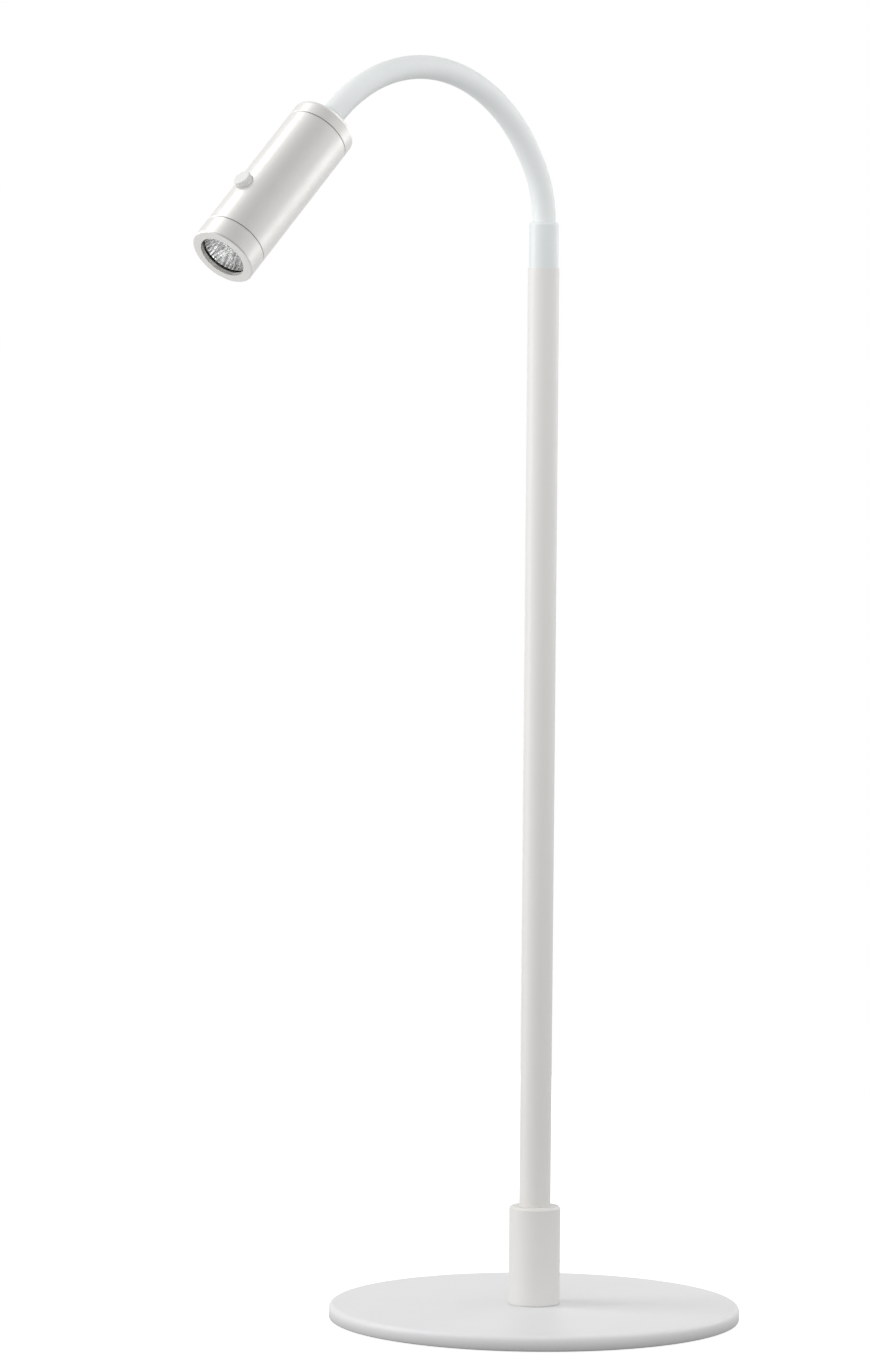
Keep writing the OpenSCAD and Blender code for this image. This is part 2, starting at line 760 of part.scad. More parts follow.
// Push button: a fluted cap, a flange that keeps it in the tube, and a stem
module switch_button() {
    r = button_d/2;
    edge = 0.6;
    flute_low_x = head_d/2 + running_gap;
    color("gainsboro") in_head(button_u) rotate([0, 90, 0]) difference() {
        rotate_extrude() polygon(concat(
            [[0, stem_low_x], [stem_d/2, stem_low_x], [stem_d/2, flange_low_x]],
            [[r + button_flange, flange_low_x], [r + button_flange, flange_top_x]],
            [[r, flange_top_x]],
            quarter(r - edge, button_top_x - edge, edge, 0),
            [[0, button_top_x]]
        ));
        for (i = [0:flute_count - 1]) rotate([0, 0, 360*(i + 0.5)/flute_count])
            translate([r, 0, flute_low_x]) cylinder(d = flute_d, h = button_rise);
    }
}

// Finned disc that carries the LED board
module heat_sink() {
    r = front_bore_r - 2*fit;
    hub_r = 5;
    color("silver") in_head(sink_u) difference() {
        cylinder(r = r, h = sink_t);
        for (i = [0:fin_count - 1]) rotate([0, 0, 360*(i + 0.5)/fin_count])
            translate([hub_r, -fin_slot/2, -sliver]) cube([r, fin_slot, fin_depth + sliver]);
        translate([board_x - fit, -r, -sliver])
            cube([board_t + 2*fit, 2*r, board_slot_depth + fit + sliver]);
        translate([0, 0, -sliver]) cylinder(d = led_hole_d, h = sink_t + 2*sliver);
        led_screw_places() translate([0, 0, fin_depth])
            cylinder(d = led_screw_d + 2*fit, h = sink_t);
    }
}

module led_screw_places() {
    for (side = [-1, 1]) translate([0, side*led_screw_pcd/2, 0]) children();
}

module led_board() {
    color("white") in_head(led_board_u) difference() {
        cylinder(d = lens_d, h = led_board_t);
        led_screw_places() translate([0, 0, -sliver])
            cylinder(d = led_screw_d + 2*fit, h = led_board_t + 2*sliver);
    }
}

module led_screws() {
    color("silver") in_head(reflector_u) led_screw_places() {
        cylinder(d = 1.8*led_screw_d, h = led_screw_head);
        translate([0, 0, -led_board_t - 2]) cylinder(d = led_screw_d, h = led_board_t + 2);
    }
}

// Leads from the driver board through the heat sink to the back of the LED board
module led_leads() {
    lead_y = led_hole_d/4;
    pad_x = board_x - lead_d/2 - fit;
    color("firebrick") in_head() for (side = [-1, 1]) swept([
        [pad_x, side*lead_y, sink_u - 6*lead_d],
        [pad_x, side*lead_y, sink_u - 4*lead_d],
        [0, side*lead_y, sink_u - lead_d],
        [0, side*lead_y, led_board_u - fit]
    ], lead_d);
}

module led_chip() {
    color("gold") in_head(reflector_u) cylinder(d = led_d, h = led_h);
}

// Radius of the reflector's bowl at the share t of its depth
function bowl_r(t) =
    sqrt(pow(reflector_root_d/2, 2) + (pow(reflector_mouth_d/2, 2) - pow(reflector_root_d/2, 2))*t);

// Rings of the reflector's skin as [radius, height]: up the bowl, over the flange, down the back
function bowl_rings(back_rows) = concat(
    [for (i = [0:facet_rows]) [bowl_r(i/facet_rows), reflector_h*i/facet_rows]],
    [[lens_d/2, reflector_h], [lens_d/2, reflector_h - flange_t]],
    [for (i = [back_rows:-1:0])
        let (h = (reflector_h - flange_t)*i/back_rows)
        [bowl_r(h/reflector_h) + reflector_skin*(reflector_h - h/2)/reflector_h, h]]
);

// Faceted bowl: the rows of its inner skin are turned by half a facet against each other
module reflector() {
    rings = bowl_rings(4);
    count = len(rings);
    points = [
        for (j = [0:count - 1], i = [0:facet_columns - 1])
            let (a = 360*(i + (j <= facet_rows ? (j % 2)/2 : 0))/facet_columns)
            [rings[j][0]*cos(a), rings[j][0]*sin(a), rings[j][1]]
    ];
    total = count*facet_columns;
    faces = [
        for (j = [0:count - 1]) each [
            for (f = band(j, facet_columns)) [f[0] % total, f[2] % total, f[1] % total]
        ]
    ];
    color("silver") in_head(reflector_u) polyhedron(points, faces);
}

module front_lens() {
    bevel = 0.3;
    color("lightcyan", 0.5) in_head(lens_u) rotate_extrude() polygon([
        [0, 0], [lens_d/2 - bevel, 0], [lens_d/2, bevel],
        [lens_d/2, lens_t - bevel], [lens_d/2 - bevel, lens_t], [0, lens_t]
    ]);
}

module lens_gasket() {
    color("black") in_head(lens_u + lens_t) tube(lens_d, opening_d + 2*seat_gap, gasket_t);
}

module front_bezel() {
    r = head_d/2;
    spigot_u = bezel_u - spigot_len;
    color("whitesmoke") in_head() rotate_extrude() polygon(concat(
        [[bezel_bore_r, spigot_u], [front_bore_r - fit, spigot_u], [front_bore_r - fit, bezel_u]],
        [[r - seam_bevel, bezel_u], [r, bezel_u + seam_bevel]],
        quarter(r - face_edge_r, face_u - face_edge_r, face_edge_r, 0),
        [[opening_d/2, face_u], [opening_d/2, face_u - lip_t], [bezel_bore_r, face_u - lip_t]]
    ));
}

// ---- One node at a time, or the whole lamp ----------------------------------------------

base_pad();
base_plate();
base_washer();
base_bolt();
post_collar();
collar_set_screw();
inlet_housing();
inlet_pin();
inlet_tags();
pole_tube();
pole_bush();
pole_cable();
lower_ferrule();
for (k = [0:SEGMENTS - 1]) {
    neck_sleeve(k);
    neck_coil(k);
}
for (k = [1:SEGMENTS - 2]) {
    neck_cable(k);
}
upper_ferrule();
rear_cap();
neck_locknut();
head_tube();
head_cable();
driver_board();
switch_body();
switch_spring();
switch_button();
heat_sink();
led_board();
led_screws();
led_leads();
led_chip();
reflector();
front_lens();
lens_gasket();
front_bezel();
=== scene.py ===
import json
import math

import bpy
import numpy as np
from mathutils import Matrix, Vector

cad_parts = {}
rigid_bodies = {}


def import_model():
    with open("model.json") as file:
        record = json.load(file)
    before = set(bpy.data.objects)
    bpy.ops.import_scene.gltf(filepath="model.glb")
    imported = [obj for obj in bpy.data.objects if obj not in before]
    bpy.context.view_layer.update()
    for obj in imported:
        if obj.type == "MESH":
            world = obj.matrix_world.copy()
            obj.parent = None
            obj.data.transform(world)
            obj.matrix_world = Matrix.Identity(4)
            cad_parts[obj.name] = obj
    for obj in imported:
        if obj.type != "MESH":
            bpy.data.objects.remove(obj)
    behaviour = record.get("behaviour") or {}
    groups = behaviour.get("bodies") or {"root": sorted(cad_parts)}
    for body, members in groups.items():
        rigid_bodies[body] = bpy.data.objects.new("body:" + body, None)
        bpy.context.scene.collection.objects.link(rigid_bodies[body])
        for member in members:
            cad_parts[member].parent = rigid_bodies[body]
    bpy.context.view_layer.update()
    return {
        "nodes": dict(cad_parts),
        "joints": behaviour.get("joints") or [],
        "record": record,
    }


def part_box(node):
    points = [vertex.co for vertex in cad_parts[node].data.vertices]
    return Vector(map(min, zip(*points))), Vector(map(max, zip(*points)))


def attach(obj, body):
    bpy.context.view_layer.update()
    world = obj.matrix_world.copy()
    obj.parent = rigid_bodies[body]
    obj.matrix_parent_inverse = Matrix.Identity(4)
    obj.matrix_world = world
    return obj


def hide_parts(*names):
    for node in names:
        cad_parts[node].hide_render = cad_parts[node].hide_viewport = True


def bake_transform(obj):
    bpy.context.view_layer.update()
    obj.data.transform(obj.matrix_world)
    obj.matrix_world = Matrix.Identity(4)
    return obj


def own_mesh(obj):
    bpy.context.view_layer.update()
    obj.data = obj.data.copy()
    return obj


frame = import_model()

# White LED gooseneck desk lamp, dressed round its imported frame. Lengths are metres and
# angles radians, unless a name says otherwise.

MM = 0.001

# ---- Camera and light -------------------------------------------------------------------

# The camera stands at this azimuth, distance and height from the pole's foot. It faces the
# pole, then turns by yaw, pitch down and roll. Its focal length is in pixels of a picture that
# is PICTURE_H pixels high.
PICTURE_H = 1357
CAMERA_AZIMUTH = math.radians(-47.0)
CAMERA_DISTANCE = 3.215
CAMERA_HEIGHT = 0.5235
CAMERA_YAW = 0.0158
CAMERA_PITCH = 0.0654
CAMERA_ROLL = 0.0084
FOCAL_PIXELS = 6646.0
SENSOR_MM = 36.0
CLIP_START, CLIP_END = 0.05, 50

# The studio round the lamp. It lights with AMBIENT_BACK from behind the lamp and AMBIENT_FRONT
# from the camera's side. Polished surfaces mirror GLOSS_FRONT there. One side fades into the
# other between these cosines to the camera's direction.
AMBIENT_BACK = 0.28
AMBIENT_FRONT = 0.96
GLOSS_FRONT = 0.28
FRONT_START = -0.1
FRONT_FULL = 0.8

# Behind the lamp the studio is white to these kinds of ray
BACKDROP = 1.0
SEEING_RAYS = ("Is Camera Ray", "Is Transmission Ray")
MIRRORED_RAYS = ("Is Glossy Ray",)

# The floor's size and colour, and how far it is lifted towards white where it is seen or mirrored
FLOOR_SIZE = 1.4
FLOOR_SHADE = 0.45
FLOOR_LIFT = 0.90
FLOOR_GLOSS = 0.60
FLOOR_ROUGHNESS = 0.9

# Lights that face this height on the pole: place in camera terms from there (right, up, towards
# the camera), size, and power in watts
LIGHT_AIM_HEIGHT = 0.36
LIGHTS = {
    "left": {"place": (-1.3, 0.15, 0.0), "size": (0.7, 1.2), "watts": 7.0},
    "over_left": {"place": (-0.9, 1.0, 0.0), "size": (0.8, 0.8), "watts": 3.8},
    "over_right": {"place": (0.9, 1.0, 0.0), "size": (0.8, 0.8), "watts": 2.4},
    "right": {"place": (1.3, 0.22, -0.3), "size": (0.7, 0.7), "watts": 1.6},
    "right_back": {"place": (1.0, 0.36, -0.9), "size": (0.7, 0.8), "watts": 2.9},
}

# ---- Looks -------------------------------------------------------------------------------

WHITE = (0.800, 0.790, 0.770)
BASE_WHITE = (0.848, 0.848, 0.856)
PEARL = (0.720, 0.713, 0.695)
COOL_WHITE = (0.860, 0.890, 0.885)
FERRULE_WHITE = (0.790, 0.825, 0.830)

# How much of the paint's colour is left at the foot of the base's rim, a painted shade that
# stands in for the shadow where the rim turns under towards the floor, the heights between
# which it comes back, and the height over which the base's white gives way to the collar's
RIM_PAINTED_SHADE = 0.50
RIM_FADE = (0.3 * MM, 5.5 * MM)
BASE_FADE = 0.5 * MM

# Half the width of the head's two joint lines, and how much of the paint's colour is left there
JOINT_HALF = 0.10 * MM
JOINT_SHADE = 0.30

# Sprayed paint: size of the clouds in its colour and in its gloss, share by which the colour
# swings, and the size and depth of its orange peel
PAINT_CLOUD = 60 * MM
PAINT_SWING = 0.008
GLOSS_CLOUD = 9 * MM
PEEL_SIZE = 0.9 * MM
PEEL_DEPTH = 0.012 * MM

# Values of a noise between which a material goes from one end of its range to the other
NOISE_SPAN = (0.3, 0.7)

# ---- Fineness of the pieces made here ---------------------------------------------------

SLEEVE_SIDES = 72
SLEEVE_STEP = 1.0 * MM
COIL_TURN_STEPS = 20
COIL_WIRE_SIDES = 10
CABLE_SIDES = 20
SPRING_TURN_STEPS = 32
SPRING_WIRE_SIDES = 12
CABLE_STEP = 2.0 * MM
LEAD_SIDES = 10
SHARP_ANGLE = math.radians(32)
SAME_PLACE = 0.01 * MM

# How far from the two ferrules the first and last neck pieces' end points are taken, and the
# hinges whose pieces take their ends from the body above down to the one below. The turn between
# two bodies comes from a fit that
# rounding can upset, and at these hinges it holds only in this order.
FERRULE_INSET = 0.5 * MM
TURNED_DOWN = ("neck_bend_root", "neck_bend_top")

# ---- Sizes of hidden pieces that the frame shows only as facets ---------------------------

COIL_WIRE_R = 0.9 * MM
COIL_PITCH = 3.6 * MM
COIL_PLAY = 0.3 * MM
COIL_TAIL = 1.5 * MM
SLEEVE_GRIP = 3.5 * MM
SPRING_TURNS = 3
SPRING_WIRE_R = 0.175 * MM

# The cable's ends, from the floor and from the head's back, and the two leads at each end. Their
# play is the gap that they keep to what they pass.
CABLE_R = 1.7 * MM
CABLE_FOOT = 34 * MM
CABLE_HEAD = 18 * MM
LEAD_R = 0.55 * MM
LEAD_D = 2 * LEAD_R
LEAD_PLAY = 0.05 * MM
TAG_HALF = 0.25 * MM

# The reflector's rim and wall, the rows of facets on its back, and how bright that back is
FLANGE_T = 1.0 * MM
SKIN_T = 0.9 * MM
BACK_ROWS = 8
BACK_TONE = 0.7


# ---- Reading the frame ------------------------------------------------------------------

JOINTS = {j["name"]: j for j in frame["joints"]}
HINGES = [j for j in frame["joints"] if j["type"] == "hinge"]
ACROSS = Vector((0, 1, 0))
UP = Vector((0, 0, 1))


def vertices(node):
    """Places of a CAD node's vertices, one row each."""
    return np.array([v.co for v in frame["nodes"][node].data.vertices], float)


def extent(node, origin, direction):
    """Least and greatest distance of a CAD node from origin along direction."""
    d = (vertices(node) - np.array(origin)) @ np.array(direction)
    return float(d.min()), float(d.max())


def rim(node, origin, direction):
    """Least and greatest radius of the end of a CAD node that lies farthest along direction."""
    v = vertices(node) - np.array(origin)
    along = v @ np.array(direction)
    radii = np.linalg.norm(v - np.outer(along, np.array(direction)), axis=1)
    at_end = radii[along > along.max() - SAME_PLACE]
    return float(at_end.min()), float(at_end.max())


def outward(bend):
    """Direction across the neck, in its plane, where it has turned by bend."""
    return Vector((math.cos(bend), 0, math.sin(bend)))


def onward(bend):
    """Direction along the neck where it has turned by bend."""
    return Vector((-math.sin(bend), 0, math.cos(bend)))


def arc_radius(start, bend, point):
    """Radius of the arc that leaves start where the neck has turned by bend and meets point."""
    step = point - start
    return step.length_squared / (-2 * step.dot(outward(bend)))


def bend_about(middle, point):
    """How far the neck has turned at a point of the arc round middle."""
    return math.atan2(point.z - middle.z, point.x - middle.x)


# The neck's line, in the XZ plane: straight up to the long ferrule's top, a tight arc up to
# the second hinge, a wide arc up to the short ferrule, and straight again. S is the distance
# along it from the long ferrule's top.
NECK_FOOT = Vector((0, 0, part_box("lower_ferrule")[1].z))
TURN = Vector(HINGES[1]["pos_m"])
ROOT_R = arc_radius(NECK_FOOT, 0.0, TURN)
ROOT_MIDDLE = NECK_FOOT - Vector((ROOT_R, 0, 0))
ROOT_BEND = bend_about(ROOT_MIDDLE, TURN)
TURN_S = ROOT_R * ROOT_BEND
MAIN_R = arc_radius(TURN, ROOT_BEND, Vector(HINGES[-1]["pos_m"]))
MAIN_MIDDLE = TURN - MAIN_R * outward(ROOT_BEND)
HEAD_OUT = -Vector(JOINTS["button_press"]["axis"]).normalized()
NECK_BEND = math.atan2(HEAD_OUT.z, HEAD_OUT.x)
NECK_LEN = TURN_S + MAIN_R * (NECK_BEND - ROOT_BEND)
HEAD_AXIS = onward(NECK_BEND)


def on_neck(x, y, s):
    """The point that lies across the neck at (x, y) and along it at s."""
    on_arc = min(max(s, 0.0), NECK_LEN)
    if on_arc < TURN_S:
        middle, radius, bend = ROOT_MIDDLE, ROOT_R, on_arc / ROOT_R
    else:
        middle, radius, bend = MAIN_MIDDLE, MAIN_R, ROOT_BEND + (on_arc - TURN_S) / MAIN_R
    return middle + outward(bend) * (radius + x) + onward(bend) * (s - on_arc) + ACROSS * y


def along_neck(point):
    """Distance along the neck of a point on its arcs."""
    bend = bend_about(ROOT_MIDDLE, point)
    if bend < ROOT_BEND:
        return ROOT_R * bend
    return TURN_S + MAIN_R * (bend_about(MAIN_MIDDLE, point) - ROOT_BEND)


HINGE_S = [along_neck(Vector(j["pos_m"])) for j in HINGES]
NECK_END = on_neck(0, 0, NECK_LEN)
HEAD_BACK_S = NECK_LEN + extent("rear_cap", NECK_END, HEAD_AXIS)[0]
HEAD_ORIGIN = on_neck(0, 0, HEAD_BACK_S)


def in_head(out, across, along):
    """A point in the head: out towards the button, across it, and along it from its back."""
    return HEAD_ORIGIN + HEAD_OUT * out + ACROSS * across + HEAD_AXIS * along


def head_extent(node):
    """Where a CAD node starts and ends along the head, from the head's back."""
    return extent(node, HEAD_ORIGIN, HEAD_AXIS)


def head_frame():
    """Axes of the head as a matrix: X towards the button, Z along the head, at its back."""
    axes = Matrix((HEAD_OUT, ACROSS, HEAD_AXIS)).transposed().to_4x4()
    axes.translation = HEAD_ORIGIN
    return axes


HEAD_FRAME = head_frame()
BASE_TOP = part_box("base_plate")[1].z


# ---- Node materials -----------------------------------------------------------------------

class Look:
    """A node material round one Principled shader, with helpers for its patterns."""

    def __init__(self, name, color, roughness, metallic=0.0, coords="Object"):
        self.material = bpy.data.materials.new(name)
        self.material.use_nodes = True
        self.nodes = self.material.node_tree.nodes
        self.links = self.material.node_tree.links
        self.shader = self.nodes["Principled BSDF"]
        self.set(Roughness=roughness, Metallic=metallic)
        self.shader.inputs["Base Color"].default_value = (*color, 1)
        self.color = color
        if coords == "rest":
            source = self.nodes.new("ShaderNodeAttribute")
            source.attribute_name = "rest_place"
            self.coords = source.outputs["Vector"]
        else:
            self.coords = self.nodes.new("ShaderNodeTexCoord").outputs[coords]

    def set(self, **sockets):
        """Sets sockets of the shader, with _ for each space in their names."""
        for name, value in sockets.items():
            self.shader.inputs[name.replace("_", " ")].default_value = value

    def link(self, a, b):
        self.links.new(a, b)

    def math(self, operation, a, b):
        """The result of a math node. Each input is a number or a socket."""
        node = self.nodes.new("ShaderNodeMath")
        node.operation = operation
        for socket, value in zip(node.inputs, (a, b)):
            if isinstance(value, (int, float)):
                socket.default_value = value
            else:
                self.link(value, socket)
        return node.outputs[0]

    def turned(self, matrix):
        """Coordinates seen in the frame whose axes are the columns of matrix."""
        node = self.nodes.new("ShaderNodeMapping")
        node.vector_type = "TEXTURE"
        node.inputs["Location"].default_value = matrix.to_translation()
        node.inputs["Rotation"].default_value = matrix.to_euler()
        self.link(self.coords, node.inputs["Vector"])
        self.coords = node.outputs["Vector"]

    def stretched(self, scale):
        """The coordinates with each axis scaled."""
        node = self.nodes.new("ShaderNodeVectorMath")
        node.operation = "MULTIPLY"
        node.inputs[1].default_value = scale
        self.link(self.coords, node.inputs[0])
        return node.outputs[0]

    def height(self):
        """The third of the coordinates."""
        node = self.nodes.new("ShaderNodeSeparateXYZ")
        self.link(self.coords, node.inputs[0])
        return node.outputs["Z"]

    def noise(self, size, detail=2.0, vector=None):
        """Soft noise whose features are about size across."""
        node = self.nodes.new("ShaderNodeTexNoise")
        node.inputs["Scale"].default_value = 1 / size
        node.inputs["Detail"].default_value = detail
        self.link(vector or self.coords, node.inputs["Vector"])
        return node.outputs["Fac"]

    def cells(self, size, vector=None, feature="F1"):
        """Cells about size across."""
        node = self.nodes.new("ShaderNodeTexVoronoi")
        node.feature = feature
        node.inputs["Scale"].default_value = 1 / size
        self.link(vector or self.coords, node.inputs["Vector"])
        return node.outputs["Distance"]

    def ranged(self, value, low, high, from_low=0.0, from_high=1.0):
        """low to high as value goes from from_low to from_high."""
        node = self.nodes.new("ShaderNodeMapRange")
        for name, number in (
            ("From Min", from_low), ("From Max", from_high), ("To Min", low), ("To Max", high),
        ):
            node.inputs[name].default_value = number
        self.link(value, node.inputs["Value"])
        return node.outputs["Result"]

    def mixed(self, value, color_a, color_b):
        """color_a where value is 0 and color_b where it is 1."""
        node = self.nodes.new("ShaderNodeMix")
        node.data_type = "RGBA"
        node.inputs["A"].default_value = (*color_a, 1)
        node.inputs["B"].default_value = (*color_b, 1)
        self.link(value, node.inputs["Factor"])
        return node.outputs["Result"]

    def paint(self, color):
        """Links color to the shader's base colour."""
        self.link(color, self.shader.inputs["Base Color"])

    def vary_color(self, value, share):
        """Lets the base colour swing by share either way with value."""
        low = [c * (1 - share) for c in self.color]
        high = [min(c * (1 + share), 1) for c in self.color]
        self.paint(self.mixed(self.ranged(value, 0, 1, *NOISE_SPAN), low, high))

    def vary_roughness(self, value, low, high):
        """Lets the roughness go from low to high with value."""
        self.link(self.ranged(value, low, high, *NOISE_SPAN), self.shader.inputs["Roughness"])

    def bump(self, height, depth):
        """Relief that is depth deep where height goes from 0 to 1."""
        node = self.nodes.new("ShaderNodeBump")
        node.inputs["Distance"].default_value = depth
        self.link(height, node.inputs["Height"])
        self.link(node.outputs["Normal"], self.shader.inputs["Normal"])


def clouded(look, shade):
    """How much of a paint's colour is left: shade, with slight clouds."""
    cloud = look.ranged(
        look.noise(PAINT_CLOUD), 1 - PAINT_SWING, 1 + PAINT_SWING, *NOISE_SPAN
    )
    return look.math("MULTIPLY", cloud, shade)


def spray(look, low, high):
    """The gloss and fine orange peel of sprayed satin paint."""
    look.vary_roughness(look.noise(GLOSS_CLOUD, 3), low, high)
    look.bump(look.noise(PEEL_SIZE), PEEL_DEPTH)


def painted_stand():
    """The stand's white paint: a little cooler on the base, and darkened by painted shade where
    its rim turns under.
    """
    look = Look("white_paint", WHITE, 0.42)
    height = look.height()
    raised = look.ranged(height, 0, 1, BASE_TOP, BASE_TOP + BASE_FADE)
    shaded = look.nodes.new("ShaderNodeVectorMath")
    shaded.operation = "SCALE"
    look.link(look.mixed(raised, BASE_WHITE, WHITE), shaded.inputs[0])
    # Painted shade: the paint darkens towards the foot of the base's rim, with slight clouds
    tone = clouded(look, look.ranged(height, RIM_PAINTED_SHADE, 1.0, *RIM_FADE))
    look.link(tone, shaded.inputs["Scale"])
    look.paint(shaded.outputs["Vector"])
    spray(look, 0.39, 0.46)
    return look.material


def painted_head():
    """The head's pearl paint, darker in the two joints between its shells."""
    look = Look("head_paint", PEARL, 0.38, metallic=0.66)
    look.turned(HEAD_FRAME)
    along = look.height()
    gaps = [
        look.math("ABSOLUTE", look.math("SUBTRACT", along, seam), 0.0)
        for seam in head_extent("head_tube")
    ]
    clean = look.ranged(look.math("MINIMUM", *gaps), 0, 1, JOINT_HALF, 2 * JOINT_HALF)
    tone = clouded(look, look.ranged(clean, JOINT_SHADE, 1.0))
    look.paint(look.mixed(tone, (0, 0, 0), PEARL))
    spray(look, 0.35, 0.42)
    return look.material


def moulded(name, color, roughness, depth=0.02 * MM):
    """Moulded plastic or rubber with a fine spark-eroded grain."""
    look = Look(name, color, roughness)
    look.vary_color(look.noise(18 * MM, 3), 0.02)
    look.vary_roughness(look.noise(4 * MM), roughness - 0.05, roughness + 0.05)
    look.bump(look.noise(0.5 * MM, 3), depth)
    return look.material


def metal(name, color, roughness, size=3 * MM, turn=None):
    """Bare metal with fine machining marks across its Z axis, or across that of turn."""
    look = Look(name, color, roughness, metallic=1.0)
    if turn is not None:
        look.turned(turn)
    marks = look.noise(size, 3, look.stretched((1, 1, 40)))
    look.vary_color(look.noise(7 * MM), 0.04)
    look.vary_roughness(marks, roughness - 0.07, roughness + 0.08)
    look.bump(marks, 0.006 * MM)
    return look.material


def neck_silicone():
    """Soft matte sleeve with faint clouds and a dusty sheen."""
    look = Look("neck_silicone", COOL_WHITE, 0.50, coords="rest")
    look.set(Sheen_Weight=0.12, Sheen_Roughness=0.45, IOR=1.42)
    look.vary_color(look.noise(22 * MM), 0.015)
    look.vary_roughness(look.noise(5 * MM), 0.46, 0.56)
    look.bump(look.noise(0.7 * MM), 0.010 * MM)
    return look.material


def circuit_board():
    """Green solder mask with a faint relief of tracks."""
    look = Look("board_green", (0.05, 0.22, 0.10), 0.38)
    look.turned(HEAD_FRAME)
    tracks = look.cells(2.6 * MM, look.stretched((1, 1, 0.35)), "DISTANCE_TO_EDGE")
    line = look.ranged(tracks, 1, 0, 0.03, 0.09)
    look.paint(look.mixed(line, (0.035, 0.16, 0.07), (0.07, 0.30, 0.14)))
    look.vary_roughness(look.noise(3 * MM), 0.32, 0.42)
    look.bump(line, 0.03 * MM)
    return look.material


def phosphor():
    """Yellow silicone over a field of small diodes."""
    look = Look("led_phosphor", (0.93, 0.74, 0.16), 0.35)
    look.turned(HEAD_FRAME)
    dots = look.cells(0.9 * MM)
    gap = look.ranged(dots, 0, 1, 0.0, 0.7)
    look.paint(look.mixed(gap, (0.95, 0.70, 0.12), (0.90, 0.80, 0.28)))
    look.vary_roughness(look.noise(2 * MM), 0.3, 0.42)
    look.bump(dots, 0.05 * MM)
    return look.material


def white_board():
    """White solder mask of the LED board."""
    look = Look("board_white", (0.80, 0.80, 0.78), 0.36)
    look.vary_color(look.noise(5 * MM), 0.02)
    look.vary_roughness(look.noise(2 * MM), 0.3, 0.42)
    look.bump(look.noise(0.8 * MM), 0.01 * MM)
    return look.material


def reflector_chrome():
    """Vapour-metallised plastic, whose hammered cells each have a painted highlight on one side
    and painted shade on the other.
    """
    # Painted reflection: each cell's colour runs from dull to bright across it, in place of the
    # hammered metal's own highlights and shade
    dull, bright = (0.26, 0.265, 0.26), (0.97, 0.97, 0.955)
    look = Look("reflector_chrome", bright, 0.10, metallic=1.0)
    tone = look.nodes.new("ShaderNodeAttribute")
    tone.attribute_name = "painted_cell_shine"
    look.paint(look.mixed(tone.outputs["Fac"], dull, bright))
    look.vary_roughness(look.noise(1.5 * MM, 3), 0.03, 0.09)
    look.bump(look.noise(0.35 * MM), 0.004 * MM)
    return look.material


def clear_lens():
    """Clear acrylic pane. Lamps shine straight through it, so that it lights what is behind."""
    look = Look("lens_clear", (0.97, 0.98, 0.98), 0.01)
    look.set(Transmission_Weight=1.0, IOR=1.49)
    look.vary_roughness(look.noise(4 * MM, 3), 0.0, 0.015)
    look.bump(look.noise(6 * MM), 0.003 * MM)
    path = look.nodes.new("ShaderNodeLightPath")
    clear = look.nodes.new("ShaderNodeBsdfTransparent")
    clear.inputs["Color"].default_value = (0.95, 0.96, 0.96, 1)
    mix = look.nodes.new("ShaderNodeMixShader")
    look.link(path.outputs["Is Shadow Ray"], mix.inputs[0])
    look.link(look.shader.outputs[0], mix.inputs[1])
    look.link(clear.outputs[0], mix.inputs[2])
    look.link(mix.outputs[0], look.nodes["Material Output"].inputs["Surface"])
    return look.material


def foot_rubber():
    """Dark rubber with concentric fine ridges that keep it from sliding."""
    look = Look("foot_rubber", (0.055, 0.055, 0.058), 0.75)
    rings = look.nodes.new("ShaderNodeTexWave")
    rings.wave_type = "RINGS"
    rings.rings_direction = "Z"
    rings.inputs["Scale"].default_value = 1 / (12 * MM)
    look.link(look.coords, rings.inputs["Vector"])
    look.vary_color(look.noise(12 * MM, 3), 0.12)
    look.vary_roughness(look.noise(3 * MM), 0.68, 0.82)
    look.bump(rings.outputs["Fac"], 0.08 * MM)
    return look.material


MATERIALS = {
    "white_paint": painted_stand(),
    "head_paint": painted_head(),
    "foot_rubber": foot_rubber(),
    "zinc_steel": metal("zinc_steel", (0.62, 0.63, 0.65), 0.32),
    "inlet_plastic": moulded("inlet_plastic", (0.030, 0.030, 0.033), 0.5),
    "contact_metal": metal("contact_metal", (0.86, 0.66, 0.30), 0.25),
    "turned_brass": metal("turned_brass", (0.76, 0.58, 0.28), 0.28),
    "ferrule_plastic": moulded("ferrule_plastic", FERRULE_WHITE, 0.36, depth=0.006 * MM),
    "neck_silicone": neck_silicone(),
    "coil_steel": metal("coil_steel", (0.46, 0.47, 0.49), 0.35, size=2 * MM),
    "cable_pvc": moulded("cable_pvc", (0.66, 0.66, 0.64), 0.45),
    "lead_insulation": moulded("lead_insulation", (0.50, 0.05, 0.04), 0.4),
    "board_green": circuit_board(),
    "board_white": white_board(),
    "led_phosphor": phosphor(),
    "bare_aluminium": metal("bare_aluminium", (0.78, 0.79, 0.80), 0.34, turn=HEAD_FRAME),
    "reflector_chrome": reflector_chrome(),
    "lens_clear": clear_lens(),
    "gasket_rubber": moulded("gasket_rubber", (0.025, 0.025, 0.027), 0.7),
    "switch_plastic": moulded("switch_plastic", (0.05, 0.05, 0.055), 0.5),
    "button_plastic": moulded("button_plastic", (0.78, 0.78, 0.76), 0.4, depth=0.01 * MM),
}


def dress_nodes():
    """Gives every CAD node the material of its slot."""
    for part in frame["record"]["subparts"]:
        mesh_object = frame["nodes"][part["node"]]
        if not mesh_object.material_slots:
            mesh_object.data.materials.append(None)
        for material_slot in mesh_object.material_slots:
            material_slot.material = MATERIALS[part["material_slot"]]


# ---- Mesh pieces --------------------------------------------------------------------------

